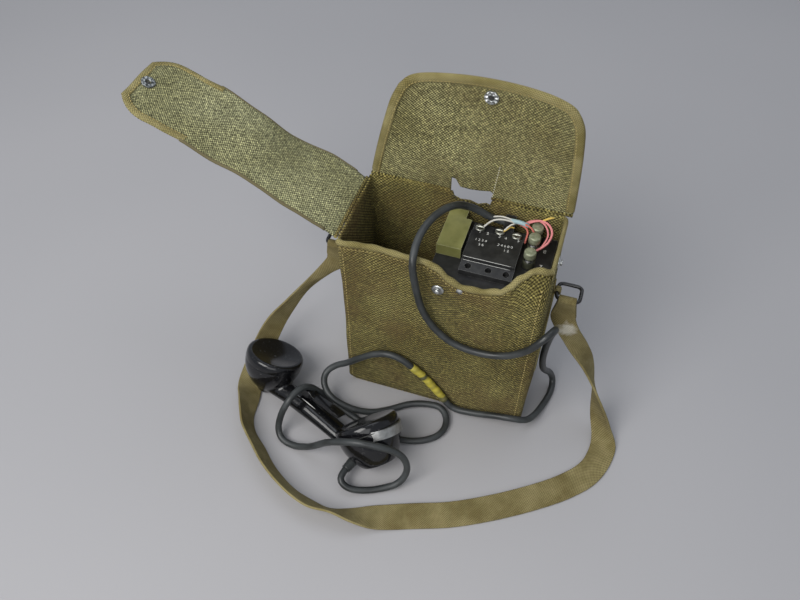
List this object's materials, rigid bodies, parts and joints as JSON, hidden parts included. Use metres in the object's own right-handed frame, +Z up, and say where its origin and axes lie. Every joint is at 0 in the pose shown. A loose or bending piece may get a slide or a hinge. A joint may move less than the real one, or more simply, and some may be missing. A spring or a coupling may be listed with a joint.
{
  "type": "field telephone",
  "caption": "Hand-cranked field telephone in a canvas carrier bag with two snap flaps, a shoulder strap, a terminal panel and a corded handset laid beside it.",
  "frame": {"origin": "centre of the carrier bag's flat base, on the surface it stands on", "axes": "+Z up, +X to the bag's right as seen from the front, +Y from the bag's front to its back, where the lid is hinged"},
  "size_m": [0.4973, 0.2626, 0.3522],
  "materials": {
    "canvas": "matte olive drab canvas",
    "piping": "matte khaki binding",
    "webbing": "matte khaki webbing",
    "snap_metal": "worn nickel",
    "black_wire": "black enamel",
    "chassis_paint": "satin olive",
    "panel_black": "satin black",
    "screw_nickel": "satin nickel",
    "steel": "bare steel",
    "iron": "plain",
    "post_green": "tarnished plate",
    "collar_dark": "matt black",
    "bakelite": "glossy black",
    "capsule_grey": "plain",
    "zinc": "printed sleeve, bare of words",
    "brass_bell": "plain",
    "coil_red": "varnished",
    "lead_cloth": "cloth covered",
    "cord_rubber": "satin dark grey",
    "tape_yellow": "matte yellow tape"
  },
  "bodies": {
    "root": {"bag_front": "canvas", "bag_back": "canvas", "bag_left": "canvas", "bag_right": "canvas", "bag_bottom": "canvas", "front_piping": "piping", "ring_tabs": "piping", "crank_port_ring": "piping", "strap_right": "webbing", "strap_front": "webbing", "strap_left": "webbing", "snap_studs": "snap_metal", "front_rivet": "snap_metal", "strap_rings": "black_wire", "chassis_frame": "chassis_paint", "battery_tray": "chassis_paint", "equipment_shelf": "chassis_paint", "switch_cover": "chassis_paint", "ringer_frame": "chassis_paint", "terminal_panel": "panel_black", "terminal_block": "panel_black", "cord_clamp": "panel_black", "induction_coil": "panel_black", "terminal_screws": "screw_nickel", "generator_frame": "screw_nickel", "post_spring_1": "steel", "post_spring_2": "steel", "post_spring_3": "steel", "generator_magnets": "steel", "post_collars": "collar_dark", "handset_handle": "bakelite", "receiver_cap": "bakelite", "transmitter_cap": "bakelite", "handset_capsules": "capsule_grey", "capacitor": "capsule_grey", "battery_cells": "zinc", "ringer_gongs": "brass_bell", "ringer_coils": "coil_red", "lead_wires": "lead_cloth", "cord_upper": "cord_rubber", "cord_lower": "cord_rubber", "handset_gland": "cord_rubber", "cord_tape": "tape_yellow"},
    "lid": {"lid_panel": "canvas"},
    "lid_drop": {"lid_front_drop": "canvas", "lid_snap": "snap_metal"},
    "flap": {"side_flap": "canvas"},
    "flap_end": {"side_flap_tip": "canvas", "side_snap": "snap_metal"},
    "post_1": {"line_post_1": "post_green"},
    "post_2": {"line_post_2": "post_green"},
    "post_3": {"line_post_3": "post_green"},
    "crank": {"crank_shaft": "steel", "drive_gear": "steel", "crank_arm": "screw_nickel"},
    "knob": {"crank_knob": "bakelite"},
    "rotor": {"generator_rotor": "iron"},
    "bell_clapper": {"clapper": "steel"},
    "lever": {"talk_lever": "bakelite"}
  },
  "joints": [
    {"name": "lid_hinge", "type": "hinge", "parent": "root", "child": "lid", "pos_m": [0, 0.0495, 0.2246], "axis": [1, 0, 0], "range_deg": [-170, 64]},
    {"name": "lid_fold", "type": "hinge", "parent": "lid", "child": "lid_drop", "pos_m": [0, 0.0483, 0.3261], "axis": [1, 0, 0], "range_deg": [-12, 90]},
    {"name": "side_flap_hinge", "type": "hinge", "parent": "root", "child": "flap", "pos_m": [-0.0995, 0, 0.2216], "axis": [0, -1, 0], "range_deg": [-133, 62]},
    {"name": "side_flap_fold", "type": "hinge", "parent": "flap", "child": "flap_end", "pos_m": [-0.27855, 0, 0.31339], "axis": [0, 1, 0], "range_deg": [-12, 90]},
    {"name": "post_press_1", "type": "slide", "parent": "root", "child": "post_1", "axis": [0, 0, -1], "range_m": [0, 0.0025], "stiffness_N_per_m": 1500, "springref_m": -0.002, "deforming": ["post_spring_1"]},
    {"name": "post_press_2", "type": "slide", "parent": "root", "child": "post_2", "axis": [0, 0, -1], "range_m": [0, 0.0025], "stiffness_N_per_m": 1500, "springref_m": -0.002, "deforming": ["post_spring_2"]},
    {"name": "post_press_3", "type": "slide", "parent": "root", "child": "post_3", "axis": [0, 0, -1], "range_m": [0, 0.0025], "stiffness_N_per_m": 1500, "springref_m": -0.002, "deforming": ["post_spring_3"]},
    {"name": "generator_crank", "type": "hinge", "parent": "root", "child": "crank", "pos_m": [0.084, 0.002, 0.108], "axis": [1, 0, 0], "continuous": true},
    {"name": "rotor_spin", "type": "hinge", "parent": "root", "child": "rotor", "pos_m": [0.036, -0.0124, 0.0888], "axis": [1, 0, 0], "continuous": true},
    {"name": "crank_knob_fold", "type": "hinge", "parent": "crank", "child": "knob", "pos_m": [0.0936, 0.002, 0.077], "axis": [0, 1, 0], "range_deg": [0, 90]},
    {"name": "clapper_swing", "type": "hinge", "parent": "root", "child": "bell_clapper", "pos_m": [0.033, -0.02, 0.178], "axis": [0, 1, 0], "range_deg": [-4, 4], "stiffness_Nm_per_rad": 0.01},
    {"name": "talk_lever_press", "type": "hinge", "parent": "root", "child": "lever", "pos_m": [-0.12587, -0.09412, 0.03064], "axis": [0.2931, 0.8055, -0.5151], "range_deg": [0, 2.3], "stiffness_Nm_per_rad": 1.5, "springref_deg": -8.59}
  ],
  "couplings": [
    {"joint": "rotor_spin", "follows": "generator_crank", "ratio": -3}
  ]
}
